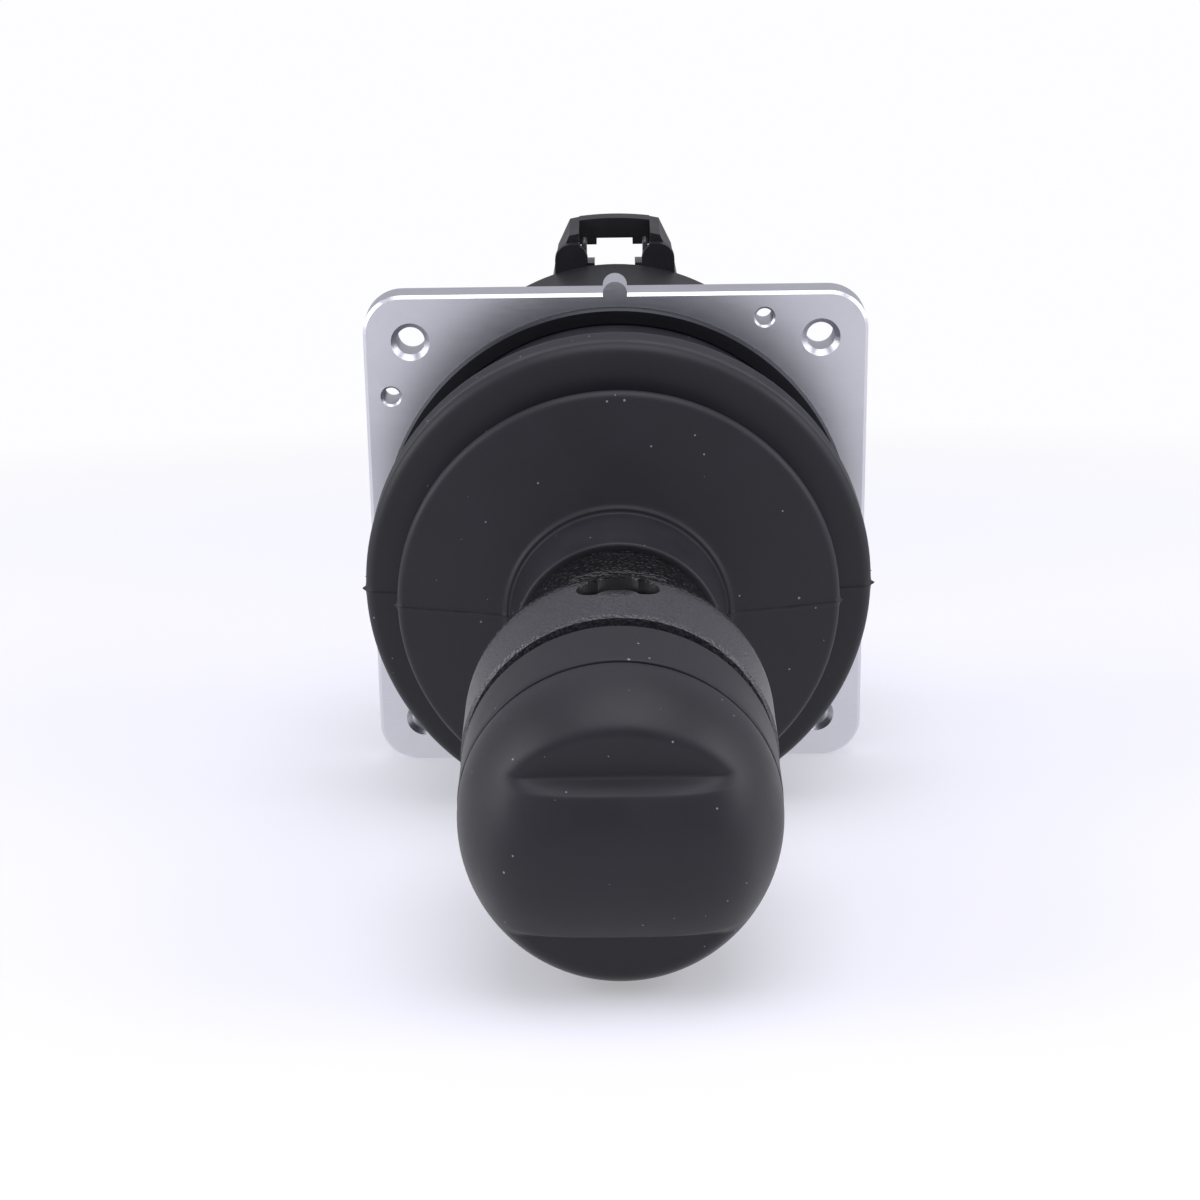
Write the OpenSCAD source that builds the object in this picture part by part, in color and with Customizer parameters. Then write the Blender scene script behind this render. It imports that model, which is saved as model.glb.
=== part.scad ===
// Industrial joystick: panel flange, rubber boot, dead-man knob and a gimbal that works push rods and contact blocks.
// Frame: origin at the centre of the flange's panel seat, +Z along the upright lever, +Y towards the index nub.

/* [Flange] */
// Side of the square flange plate
flange_w = 96; // [90:0.5:120]
// Thickness of the flange plate
flange_t = 6.5; // [5:0.5:10]
// Corner radius of the flange plate
flange_r = 7.5; // [4:0.5:8]
// Depth of the register under the plate, in which the housing seats
register_depth = 1; // [0.6:0.1:1.6]
// Chamfer along both edges of the flange plate
flange_chamfer = 0.6; // [0.2:0.1:1]
// Distance between the panel screw holes, along both sides
hole_pitch = 78; // [74:0.5:80]
// Diameter of the panel screw holes
hole_d = 5.4; // [4:0.1:6]
// Chamfer at the mouth of each panel screw hole
hole_chamfer = 1; // [0.4:0.1:1.4]
// Pitch circle of the four pin holes
pin_circle_d = 103; // [101:0.5:106]
// Angle of the first pin hole from +X
pin_angle = 56.7; // [54:0.1:58]
// Diameter of the pin holes
pin_hole_d = 3.3; // [2:0.1:4]
// Diameter of the central opening
opening_d = 60; // [58:1:62]
// Radius of the half-round index nub on the rear edge
nub_r = 2.3; // [1.5:0.1:3]

/* [Boot] */
// Outer radius of the clamp ring on the plate
ring_r = 45.5; // [45:0.5:47]
// Height of the clamp ring
ring_h = 1.7; // [1.2:0.1:3]
// Rubber thickness of the boot
boot_wall = 1.8; // [1.2:0.1:2.2]
// Outer radius of the boot's root wall
root_r = 42.3; // [41:0.1:43]
// Outer radius of the boot's convolution
fold_r = 46.8; // [45:0.2:48]
// Height of the convolution's lower lip above the plate
fold_low = 21; // [18:0.5:23]
// Height of the convolution's upper lip above the plate
fold_high = 29.8; // [28:0.2:30.2]
// Radius at the bottom of the groove
groove_r = 34.2; // [33:0.5:37]
// Radius of the boot's disc
disc_r = 40.3; // [39:0.1:42]
// Height of the disc's rim above the plate
disc_h = 38.5; // [38:0.1:40]
// Radius where the boot's neck leaves the disc
boot_neck_r = 20; // [19.4:0.1:21]
// Height where the boot's neck leaves the disc
boot_neck_h = 42.5; // [42:0.1:44]
// Height of the boot's end above the plate
boot_end_h = 56.2; // [54:0.2:58]
// Radius of the boot's end
boot_end_r = 18.6; // [18.2:0.1:19]

/* [Knob] */
// Radius of the knob's neck
neck_r = 17.5; // [16.5:0.1:18]
// Radius of the knob's spigot inside the boot
spigot_r = 15.4; // [14:0.1:16]
// Radius of the knob's cup
cup_r = 25.4; // [24.5:0.1:27]
// Height above the plate where the cup reaches its full radius
cup_full_h = 91.5; // [90:0.5:94]
// Height of the cup's rim above the plate
cup_rim_h = 106.6; // [105:0.2:108]
// Wall of the cup
cup_wall = 2.6; // [2:0.1:3]
// Travel of the dead-man cap
cap_travel = 2.7; // [1.5:0.1:2.8]
// Gap between the cup's rim and the rubber ring
cap_gap = 3; // [2.9:0.1:3.5]
// Height of the rubber ring
sleeve_h = 14.2; // [12:0.2:16]
// Seam between the rubber ring and the cap
seam = 0.3; // [0.2:0.1:0.6]
// Step from the cup's side in to the cap's dome
dome_step = 0.4; // [0:0.1:0.8]
// Height above the plate of the dome's centre
dome_h = 125.7; // [125.4:0.1:127]
// Height above the plate of the cap's flat top
cap_top_h = 146.5; // [145:0.1:148]
// Half width of the bar between the two finger scoops
bar_half = 14; // [12:0.5:16]
// Height above the plate of the scoops' floor
scoop_h = 139.6; // [138:0.2:142]
// Height above the plate of the clamp screw
clamp_h = 93.8; // [93.6:0.1:94.6]
// Head diameter of the clamp screw
clamp_head_d = 8.5; // [8:0.1:8.8]

/* [Mechanism] */
// Largest tilt of the lever each way
tilt = 20; // [10:1:20]
// Height of the pivot axes, from the panel seat
pivot_z = -10; // [-12:0.5:-9.5]
// Radius of the lever rod
rod_r = 5; // [4.5:0.1:5.4]
// Radius of the lever's tail below the gimbal
tail_r = 3.5; // [3:0.1:3.8]
// Outer radius of the gimbal ring
gimbal_r = 23; // [22:0.5:26]
// Gap between the gimbal ring and the bail
bail_gap = 3.5; // [3.1:0.1:4]
// Thickness of the bail
bail_t = 3; // [2.5:0.1:3]
// Side clearance of the tail in the bail's slot
slot_gap = 0.8; // [0.7:0.05:1]
// Radius of the pivot pins
pivot_pin_r = 4; // [3.5:0.1:4.2]
// Distance from the pivot axis to the push rods' tips
cam_depth = 11; // [10.6:0.1:11.3]
// Offset of each push rod from the middle of its contact block
rod_offset = 3.65; // [3.6:0.05:3.8]
// Radius of the push rods
push_rod_r = 1.5; // [1.2:0.1:1.6]
// Radial running clearance of shafts and rods
running = 0.05; // [0.03:0.01:0.08]

/* [Housing] */
// Room beyond the bail for a cam or a spring, up to the pivot bosses
pivot_room = 5; // [5:0.2:6]
// Wall of the housing
housing_wall = 2.5; // [2:0.1:2.8]
// Gap between the lever's tail and the bottom cover
floor_gap = 2; // [2:0.5:8]
// Thickness of the bottom cover
cover_t = 3; // [2.5:0.1:4]

/* [Contact blocks] */
// Depth of a contact block's frame
frame_depth = 17; // [16.5:0.5:20]
// Reach of the frame's tip past the push rods
frame_tip = 15.6; // [14:0.2:16]
// Half width of the frame at its foot
frame_half = 13.2; // [13:0.1:13.8]
// Half width of the frame at its tip
frame_tip_half = 9.4; // [9:0.1:10.5]
// Half width of the space between the frame's walls
frame_inner = 7.4; // [7.4:0.1:7.8]
// Thickness of a snap switch
switch_t = 6.4; // [5.8:0.1:6.4]
// Length of a snap switch
switch_l = 19.8; // [19:0.1:20]
// Height of a snap switch
switch_h = 10.2; // [9.8:0.1:10.6]

/* [Hidden] */
$fn = 96;
eps = 0.01;
seat = 0.02;                       // radial gap of pieces that are pressed or screwed together
soft_gap = 0.3;                    // gap between the boot and the pieces that it grips
plate_top = flange_t;              // heights above the plate are counted from here
bail_r = gimbal_r + bail_gap;      // inner radius of the slotted bail
bail_out = bail_r + bail_t;
cam_t = 3;
boss_in = bail_out + pivot_room;   // inner end of the pivot bosses
housing_in = boss_in + 3;
housing_r = housing_in + housing_wall;
bush_r = pivot_pin_r + 2;
boss_out = housing_r + 1.5;
register_r = boss_out + 0.5;       // the register also clears the pivot bosses
pillar_circle = housing_in - 4;    // radius on which the housing's screws lie
pillar_r = 4;
pillar_h = 14;
rod_y = bail_out + cam_t / 2;      // distance of the push rods from the lever's axis
tail_end = pivot_z - bail_out - 2;
cover_z = tail_end - floor_gap;    // joint between the housing and its cover
housing_h = register_depth - cover_z;
frame_z = cover_z - cover_t;       // face that the contact blocks hang from
web_t = 1.6;
switch_z = frame_z - web_t - 0.1;  // upper face of the snap switches
switch_y0 = rod_y - 16;            // inner end of the snap switches
frame_reach = rod_y + frame_tip;
frame_y0 = frame_half + 1.2;       // inner end of the contact frames, clear of each other
rod_top = plate_top + 86.8;
groove_h = fold_high + 3.5;         // middle of the groove, above the plate
core_z0 = plate_top + 81.5;        // floor of the cup's hollow
core_flange_z = plate_top + 99.5;  // underside of the core's flange
core_top = core_flange_z + 2;
core_r = 12.5;
core_flange_r = 18.5;
cup_in = cup_r - cup_wall;
sleeve_z = plate_top + cup_rim_h + cap_gap;
sleeve_top = sleeve_z + sleeve_h;
piston_r = cup_in - 0.3;
dome_r = cup_r - dome_step;
cap_z = sleeve_top + seam;
piston_top = cap_z;                // the cap rests on the piston's disc
piston_disc_z = piston_top - 4;
piston_low = plate_top + cup_rim_h - 1;
boss_r = dome_r - 5;               // raised middle of the piston, gripped by the cap
boss_h = 8;
clamp_z = plate_top + clamp_h;
clamp_head_h = 5;
clamp_face_y = cup_r - 2.3;
clamp_seat_y = clamp_face_y - clamp_head_h;

// Points of an arc about c, from angle a0 to a1, in n steps
function arc(c, r, a0, a1, n) = [for (i = [0:n]) c + r * [cos(a0 + (a1 - a0) * i / n), sin(a0 + (a1 - a0) * i / n)]];

// Turns a point of the plane by an angle
function turned(p, a) = [p[0] * cos(a) - p[1] * sin(a), p[0] * sin(a) + p[1] * cos(a)];

// Unit vector
function unit(v) = v / norm(v);

module revolve(points) {
    rotate_extrude() polygon(points);
}

module ring(r_out, r_in, h) {
    difference() {
        cylinder(r = r_out, h = h);
        translate([0, 0, -1]) cylinder(r = r_in, h = h + 2);
    }
}

// A cylinder that points along +Y from y0 to y1
module along_y(r, y0, y1) {
    translate([0, y0, 0]) rotate([-90, 0, 0]) cylinder(r = r, h = y1 - y0);
}

// Puts what lies at +Y on +X instead, turned about the lever
module at_x() {
    rotate([0, 0, -90]) children();
}

module at_corners(pitch) {
    for (x = [-1, 1], y = [-1, 1]) translate([x * pitch / 2, y * pitch / 2, 0]) children();
}

module at_pillars() {
    for (a = [45:90:315]) rotate([0, 0, a]) translate([pillar_circle, 0, 0]) children();
}

// A round wire swept along points. The side vector is square to most of the path.
module wire(path, r, side, sides = 8) {
    n = len(path);
    tangents = [for (i = [0:n - 1]) unit(path[min(i + 1, n - 1)] - path[max(i - 1, 0)])];
    points = [for (i = [0:n - 1]) let (u = unit(cross(tangents[i], side)), v = cross(u, tangents[i]))
        for (k = [0:sides - 1]) path[i] + r * (cos(360 * k / sides) * u + sin(360 * k / sides) * v)];
    walls = [for (i = [0:n - 2], k = [0:sides - 1]) let (j = (k + 1) % sides)
        [i * sides + k, i * sides + j, (i + 1) * sides + j, (i + 1) * sides + k]];
    first = [for (k = [0:sides - 1]) sides - 1 - k];
    last = [for (k = [0:sides - 1]) (n - 1) * sides + k];
    polyhedron(points, concat(walls, [first, last]));
}

// ---- flange and boot ----

// Bar of the plate: full length one way, shorter by both corner radii the other way, chamfered at its two ends
module plate_bar() {
    h = flange_w / 2;
    c = flange_chamfer;
    l = flange_w - 2 * flange_r;
    translate([0, l / 2, 0]) rotate([90, 0, 0]) linear_extrude(l)
        polygon([[-h + c, 0], [h - c, 0], [h, c], [h, flange_t - c], [h - c, flange_t], [-h + c, flange_t],
            [-h, flange_t - c], [-h, c]]);
}

module plate_corner() {
    c = flange_chamfer;
    revolve([[0, 0], [flange_r - c, 0], [flange_r, c], [flange_r, flange_t - c], [flange_r - c, flange_t],
        [0, flange_t]]);
}

// Through hole with a chamfer at its upper mouth
module chamfered_hole(d, c) {
    revolve([[0, -1], [d / 2, -1], [d / 2, flange_t - c], [d / 2 + c + eps, flange_t + eps], [0, flange_t + eps]]);
}

module flange_plate() {
    color([0.78, 0.78, 0.82]) difference() {
        union() {
            plate_bar();
            rotate([0, 0, 90]) plate_bar();
            at_corners(flange_w - 2 * flange_r) plate_corner();
            translate([0, flange_w / 2, 0]) cylinder(r = nub_r, h = flange_t);
        }
        translate([0, 0, -1]) cylinder(d = opening_d, h = flange_t + 2);
        translate([0, 0, -1]) cylinder(r = register_r, h = register_depth + 1);
        at_corners(hole_pitch) chamfered_hole(hole_d, hole_chamfer);
        for (i = [0:3]) rotate([0, 0, pin_angle + 90 * i]) translate([pin_circle_d / 2, 0, 0])
            chamfered_hole(pin_hole_d, 0.4);
        at_pillars() chamfered_hole(4.4, 2.1);
    }
}

module boot_ring() {
    lip = ring_h - 0.8;
    color([0.17, 0.17, 0.19]) translate([0, 0, plate_top])
        revolve([[root_r + 1.1, 0], [ring_r, 0], [ring_r, ring_h - 0.4], [ring_r - 0.4, ring_h],
            [root_r + 0.3, ring_h], [root_r + 0.3, lip], [root_r + 1.1, lip]]);
}

module boot() {
    w = boot_wall;
    foot = ring_h - 1;
    outside = concat(
        [[root_r + 0.8, 0], [root_r + 0.8, foot], [root_r, foot], [root_r, fold_low - 3.5]],
        arc([fold_r - 2.2, fold_low + 1.2], 2.2, -60, 0, 4),
        arc([fold_r - 2.4, fold_high - 1.6], 2.4, 0, 72, 5),
        [[groove_r + 2.6, fold_high + 1.6]],
        arc([groove_r + 1.8, groove_h], 1.8, 250, 110, 6),
        arc([disc_r - 1.5, disc_h - 1.7], 1.5, -50, 78, 6),
        [[boot_neck_r + 0.6, boot_neck_h - 0.2], [boot_neck_r, boot_neck_h + 0.4], [boot_end_r, boot_end_h - 0.5],
            [boot_end_r - 0.5, boot_end_h]]);
    inside = concat(
        [[spigot_r + soft_gap, boot_end_h], [spigot_r + soft_gap, boot_neck_h - w - 0.4]],
        [[groove_r + 0.3, groove_h + w + 2.1]],
        arc([groove_r + 1.8, groove_h], 1.8 + w, 115, 245, 6),
        [[fold_r - 3.2, fold_high - w], [fold_r - w - 0.2, fold_high - w - 1.4], [fold_r - w - 0.2, fold_low + 1.4],
            [root_r - w, fold_low - 2.6], [root_r - w, foot + 0.9], [root_r - w - 4, 0.9], [root_r - w - 4, 0]]);
    color([0.16, 0.16, 0.19]) translate([0, 0, plate_top]) revolve(concat(outside, inside));
}

// ---- housing ----

module pivot_bosses(r, r0, r1) {
    for (a = [0:90:270]) rotate([0, 0, a]) translate([0, 0, pivot_z]) along_y(r, r0, r1);
}

module housing() {
    color([0.13, 0.13, 0.15]) difference() {
        union() {
            translate([0, 0, cover_z]) ring(housing_r, housing_in, housing_h);
            intersection() {
                translate([0, 0, cover_z]) cylinder(r = housing_r - eps, h = housing_h);
                union() {
                    at_pillars() translate([0, 0, -pillar_h]) cylinder(r = pillar_r, h = pillar_h + register_depth);
                    at_pillars() translate([0, 0, cover_z]) cylinder(r = pillar_r, h = pillar_h);
                }
            }
            pivot_bosses(bush_r + 2, boss_in, boss_out);
            // pegs that hold the centring springs
            translate([0, 0, pivot_z - 16.5]) along_y(1.5, -housing_in - 1, -bail_out - 0.5);
            at_x() translate([0, 0, pivot_z - 16.5]) along_y(1.5, -housing_in - 1, -bail_out - 0.5);
        }
        pivot_bosses(bush_r + seat, boss_in - 1, boss_out + 1);
        at_pillars() translate([0, 0, 2 - pillar_h]) cylinder(r = 2, h = pillar_h);
        at_pillars() translate([0, 0, cover_z - 1]) cylinder(r = 1.5, h = pillar_h - 1);
    }
}

// Countersunk screw, head up, with a hexagon socket
module countersunk_screw(r, head_r, length) {
    head_h = head_r - r;
    difference() {
        revolve([[0, -length], [r, -length], [r, -head_h], [head_r, 0], [0, 0]]);
        translate([0, 0, -head_h]) cylinder(r = head_r / 2.6, h = head_h + 1, $fn = 6);
    }
}

// Cheese-head screw, head up from z = 0, with a hexagon socket
module cap_screw(r, head_r, head_h, length) {
    difference() {
        revolve([[0, -length], [r, -length], [r, 0], [head_r, 0], [head_r, head_h - 0.3], [head_r - 0.3, head_h],
            [0, head_h]]);
        translate([0, 0, head_h * 0.45]) cylinder(r = head_r * 0.52, h = head_h, $fn = 6);
    }
}

module housing_screws() {
    color([0.6, 0.6, 0.62]) at_pillars() translate([0, 0, plate_top - 0.2])
        countersunk_screw(2 - seat, 4 - seat, plate_top + 10);
}

module bottom_cover() {
    color([0.15, 0.15, 0.17]) difference() {
        union() {
            translate([0, 0, frame_z]) cylinder(r = housing_r, h = cover_t);
            translate([0, 0, cover_z - eps]) ring(housing_in - 0.2, housing_in - 2.2, 2 + eps);
            for (x = [-1, 1]) translate([x * rod_offset, rod_y, cover_z - 1]) cylinder(r = push_rod_r + 1.5, h = 8);
            for (y = [-1, 1]) translate([rod_y, y * rod_offset, cover_z - 1]) cylinder(r = push_rod_r + 1.5, h = 8);
        }
        at_pillars() translate([0, 0, frame_z - 1]) cylinder(r = 1.7, h = cover_t + 2);
        at_pillars() translate([0, 0, cover_z]) cylinder(r = pillar_r + 0.3, h = 4);
        translate([0, 0, frame_z - 1]) cylinder(r = 4.5, h = cover_t + 2);
        for (x = [-1, 1]) translate([x * rod_offset, rod_y, frame_z - 1]) cylinder(r = push_rod_r + running, h = 20);
        for (y = [-1, 1]) translate([rod_y, y * rod_offset, frame_z - 1]) cylinder(r = push_rod_r + running, h = 20);
        at_frame_screws() translate([0, 0, frame_z - 1]) cylinder(r = 1.5, h = cover_t + 2);
    }
}

module cover_screws() {
    color([0.6, 0.6, 0.62]) at_pillars() translate([0, 0, frame_z]) mirror([0, 0, 1])
        cap_screw(1.5 - seat, 2.8, 2, cover_t + 9);
}

module wire_grommet() {
    color([0.2, 0.2, 0.22]) translate([0, 0, frame_z])
        revolve([[2.2, -1.6], [6, -1.6], [6.4, -1.2], [6.4, 0], [4.5 - seat, 0], [4.5 - seat, cover_t], [6.2, cover_t],
            [6.2, cover_t + 1.4], [2.2, cover_t + 1.4]]);
}

// ---- gimbal, bail and lever ----

module pivot_bushes() {
    color([0.75, 0.6, 0.35]) for (a = [0:90:270]) rotate([0, 0, a]) translate([0, 0, pivot_z]) difference() {
        along_y(bush_r, boss_in, housing_r);
        along_y(pivot_pin_r + running, boss_in - 1, housing_r + 1);
    }
}

module bearing_caps() {
    color([0.1, 0.1, 0.11]) for (a = [0:90:270]) rotate([0, 0, a]) translate([0, 0, pivot_z])
        along_y(bush_r, housing_r + 0.3, boss_out - 0.2);
}

// Two pins on the +Y and -Y side of the lever
module pin_pair(r, y0, y1) {
    for (s = [-1, 1]) scale([1, s, 1]) translate([0, 0, pivot_z]) along_y(r, y0, y1);
}

// Arm below the hub at -Y, with the peg that turns the centring spring
module spring_peg() {
    translate([-3.5, -bail_out, pivot_z - 14]) cube([7, bail_t, 14]);
    translate([0, 0, pivot_z - 12]) along_y(1.5, -bail_out - 4.2, -bail_out + 1);
}

module gimbal_ring() {
    half = 5;
    opening_x = 12.5;
    opening_y = 15.2;
    color([0.62, 0.62, 0.65]) difference() {
        union() {
            translate([0, 0, pivot_z - half]) cylinder(r = gimbal_r, h = 2 * half);
            at_x() pin_pair(pivot_pin_r + 2, gimbal_r - 3, bail_out);
            at_x() spring_peg();
        }
        translate([-opening_x, -opening_y, pivot_z - half - 1]) cube([2 * opening_x, 2 * opening_y, 2 * half + 2]);
        at_x() pin_pair(pivot_pin_r + seat, opening_x - 1, bail_out + 1);
        pin_pair(3 + seat, opening_y - 1, gimbal_r + 1);
    }
}

module gimbal_pins() {
    color([0.7, 0.7, 0.72]) at_x() pin_pair(pivot_pin_r, gimbal_r - 4, housing_r);
}

module lever_pins() {
    color([0.7, 0.7, 0.72]) pin_pair(3, rod_r + 1, gimbal_r - 0.4);
}

// Path of a push rod's round tip, seen from the turning cam: the tip falls in proportion to the angle
function tip_path(a) = let (z = -cam_depth - rod_offset * a * PI / 180) turned([rod_offset, z], a);

// The cam's working edge lies one tip radius and a running gap inside that path
function cam_edge(a) = let (d = unit(tip_path(a + 1) - tip_path(a - 1)), lift = push_rod_r + 2 * running)
    tip_path(a) + lift * [-d[1], d[0]];

module cam() {
    edge = [for (a = [-tilt:2:tilt + 4]) cam_edge(a)];
    mirrored = [for (i = [len(edge) - 1:-1:0]) [-edge[i][0], edge[i][1]]];
    translate([0, bail_out + cam_t, pivot_z]) rotate([90, 0, 0]) linear_extrude(cam_t) difference() {
        union() {
            circle(r = pivot_pin_r + 3);
            polygon(concat([[-pivot_pin_r - 2, 0]], mirrored, edge, [[pivot_pin_r + 2, 0]]));
        }
        circle(r = pivot_pin_r + seat);
    }
}

module cam_x() {
    color([0.85, 0.83, 0.75]) at_x() cam();
}

module cam_y() {
    color([0.85, 0.83, 0.75]) cam();
}

module slotted_bail() {
    half = 8;
    slot_y = 14.8;
    color([0.66, 0.66, 0.68]) difference() {
        union() {
            intersection() {
                translate([-half, 0, pivot_z]) rotate([0, 90, 0]) ring(bail_out, bail_r, 2 * half);
                translate([-half, -bail_out, pivot_z - bail_out]) cube([2 * half, 2 * bail_out, bail_out]);
            }
            pin_pair(pivot_pin_r + 3, bail_r, bail_out);
            spring_peg();
        }
        pin_pair(pivot_pin_r + seat, bail_r - 1, bail_out + 1);
        translate([-tail_r - slot_gap, -slot_y, pivot_z - bail_out - 1])
            cube([2 * (tail_r + slot_gap), 2 * slot_y, bail_out - 12]);
    }
}

module bail_pins() {
    color([0.7, 0.7, 0.72]) pin_pair(pivot_pin_r, bail_r - 2, housing_r);
}

// Torsion spring round the pin at -Y, whose two legs straddle the pegs below it
module centring_spring() {
    r = pivot_pin_r + 1.4;
    turns = 2.5;
    steps = 40;
    y0 = -bail_out - 1;
    pitch = 1.2;
    coil = [for (i = [0:steps]) let (a = 360 * turns * i / steps) [r * cos(a), y0 - pitch * turns * i / steps,
        pivot_z + r * sin(a)]];
    leg = 19;
    path = concat([[2.2, y0, pivot_z - leg]], coil, [[-2.2, y0 - pitch * turns, pivot_z - leg]]);
    wire(path, 0.5, [0, 1, 0]);
}

module spring_x() {
    color([0.55, 0.56, 0.6]) at_x() centring_spring();
}

module spring_y() {
    color([0.55, 0.56, 0.6]) centring_spring();
}

module lever_hub() {
    half = 14.9;
    color([0.5, 0.5, 0.53]) translate([0, 0, pivot_z]) difference() {
        along_y(7.5, -half, half);
        along_y(3 + running, -half - 1, half + 1);
        translate([0, 0, -20]) cylinder(r = rod_r + seat, h = 40);
    }
}

module lever_rod() {
    bore = 2.2;
    color([0.7, 0.7, 0.73])
        revolve([[bore, tail_end], [tail_r - 0.5, tail_end], [tail_r, tail_end + 0.5], [tail_r, pivot_z - 9],
            [rod_r, pivot_z - 9], [rod_r, rod_top - 0.8], [rod_r - 0.8, rod_top], [bore, rod_top]]);
}

// ---- push rods ----

// A push rod at x = side * rod_offset in the block at +Y
module push_rod(side) {
    low = switch_z - 1.6;
    translate([side * rod_offset, rod_y, 0]) {
        translate([0, 0, low]) cylinder(r = push_rod_r, h = pivot_z - cam_depth - low);
        translate([0, 0, pivot_z - cam_depth]) sphere(r = push_rod_r);
    }
}

module push_rod_left() {
    color([0.9, 0.9, 0.88]) push_rod(-1);
}

module push_rod_right() {
    color([0.9, 0.9, 0.88]) push_rod(1);
}

module push_rod_front() {
    color([0.9, 0.9, 0.88]) at_x() push_rod(1);
}

module push_rod_rear() {
    color([0.9, 0.9, 0.88]) at_x() push_rod(-1);
}

// ---- contact blocks ----

module at_frame_screws() {
    for (s = [-1, 1]) {
        translate([s * (frame_half + 3), rod_y - 3.5, 0]) children();
        translate([rod_y - 3.5, s * (frame_half + 3), 0]) children();
    }
}

// Side wall of the frame, as its outline in the panel plane
module frame_wall() {
    polygon([[frame_inner, frame_y0], [frame_half, frame_y0], [frame_half, frame_reach - 13],
        [frame_half - 1.2, frame_reach - 6.5], [frame_tip_half, frame_reach - 1], [frame_inner, frame_reach - 0.6]]);
}

// Thick front leg of the frame, with a round shoulder
module frame_leg() {
    top = frame_reach - 2.4;
    out = frame_half - 0.8;
    shoulder = 3.4;
    translate([frame_inner - 0.2, frame_y0]) square([out - frame_inner + 0.2 - shoulder, top - frame_y0]);
    translate([frame_inner, frame_y0]) square([out - frame_inner, top - shoulder - frame_y0]);
    translate([out - shoulder, top - shoulder]) circle(r = shoulder);
}

// Crossbar at the tip: crowned on top, with a tooth at each end below
module frame_crossbar() {
    h = 4.3;
    tooth = 1.4;
    crown = frame_inner * 8;
    difference() {
        intersection() {
            translate([-frame_inner - eps, frame_reach - h - tooth]) square([2 * frame_inner + 2 * eps, h + tooth + 2]);
            translate([0, frame_reach - crown]) circle(r = crown);
        }
        translate([-frame_inner + 3.6, frame_reach - h - tooth - 1]) square([2 * frame_inner - 7.2, tooth + 1]);
    }
}

module contact_frame() {
    back = frame_z - frame_depth;
    leg_t = 2;
    color([0.12, 0.12, 0.14]) difference() {
        union() {
            for (s = [0, 1]) mirror([s, 0, 0]) {
                translate([0, 0, back]) linear_extrude(frame_depth - leg_t) frame_wall();
                translate([0, 0, frame_z - leg_t - eps]) linear_extrude(leg_t + eps) frame_leg();
                translate([frame_half - 1, rod_y - 7.5, frame_z - 3]) cube([7.5, 8, 3]);
            }
            translate([0, 0, back]) linear_extrude(4) frame_crossbar();
            translate([-frame_inner - eps, frame_y0, frame_z - web_t])
                cube([2 * frame_inner + 2 * eps, rod_y + 4.4 - frame_y0, web_t]);
        }
        for (s = [-1, 1]) translate([s * rod_offset, rod_y, frame_z - 5]) cylinder(r = push_rod_r + 0.4, h = 6);
        for (s = [-1, 1]) translate([s * (frame_half + 3), rod_y - 3.5, frame_z - 5]) cylinder(r = 1.7, h = 6);
        at_switch_screws() cylinder(r = 1.15, h = 40, center = true);
    }
}

// The two screws that pass through a frame and its switches, as axes along X
module at_switch_screws() {
    for (y = [switch_y0 + 3, switch_y0 + 12.5]) translate([0, y, switch_z - 7.6]) rotate([0, 90, 0]) children();
}

module contact_frame_y() {
    contact_frame();
}

module contact_frame_x() {
    at_x() contact_frame();
}

module switch_pair() {
    color([0.14, 0.14, 0.17]) for (s = [-1, 1]) scale([s, 1, 1]) difference() {
        translate([0.5, switch_y0, switch_z - switch_h]) cube([switch_t, switch_l, switch_h]);
        translate([rod_offset, rod_y, switch_z - 4]) cylinder(r = push_rod_r + 0.15, h = 5);
        at_switch_screws() cylinder(r = 1.15, h = 40, center = true);
    }
}

module switches_y() {
    switch_pair();
}

module switches_x() {
    at_x() switch_pair();
}

// Blades of a pair of switches: one angled blade from the outer end and two straight tabs at the back
module terminal_pair() {
    y1 = switch_y0 + switch_l;
    blade = 4.8;
    mid = switch_z - switch_h / 2 - blade / 2;
    color([0.75, 0.75, 0.76]) for (s = [-1, 1]) scale([s, 1, 1]) {
        translate([0, 0, mid]) linear_extrude(blade) {
            translate([4.2, y1]) square([1.1, 4.3]);
            translate([4.2, y1 + 3.2]) square([2.7, 1.1]);
            translate([5.8, y1 + 3.2]) square([1.1, 5]);
            translate([6.35, y1 + 8.2]) circle(r = 0.55);
        }
        for (y = [switch_y0 + 4, switch_y0 + 11]) translate([3.4, y, switch_z - switch_h - 4.6]) cube([0.6, 4, 4.6]);
    }
}

module terminals_y() {
    terminal_pair();
}

module terminals_x() {
    at_x() terminal_pair();
}

module frame_screws() {
    color([0.6, 0.6, 0.62]) at_frame_screws() translate([0, 0, frame_z - 3]) mirror([0, 0, 1])
        cap_screw(1.5 - seat, 2.8, 2, cover_t + 2.5);
}

module switch_screw_pair() {
    at_switch_screws() {
        cylinder(r = 1.1, h = 2 * frame_half, center = true);
        for (s = [-1, 1]) scale([1, 1, s]) translate([0, 0, frame_half]) cylinder(r = 2, h = 1.2);
    }
}

module switch_screws() {
    color([0.6, 0.6, 0.62]) {
        switch_screw_pair();
        at_x() switch_screw_pair();
    }
}

// ---- knob ----

module screw_pocket() {
    lobe_r = 3.4;
    lobe_x = 3.3;
    translate([0, clamp_seat_y, clamp_z]) rotate([-90, 0, 0]) linear_extrude(20) {
        circle(r = clamp_head_d / 2 + 0.45);
        for (s = [-1, 1]) translate([s * lobe_x, 0]) circle(r = lobe_r);
    }
}

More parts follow.
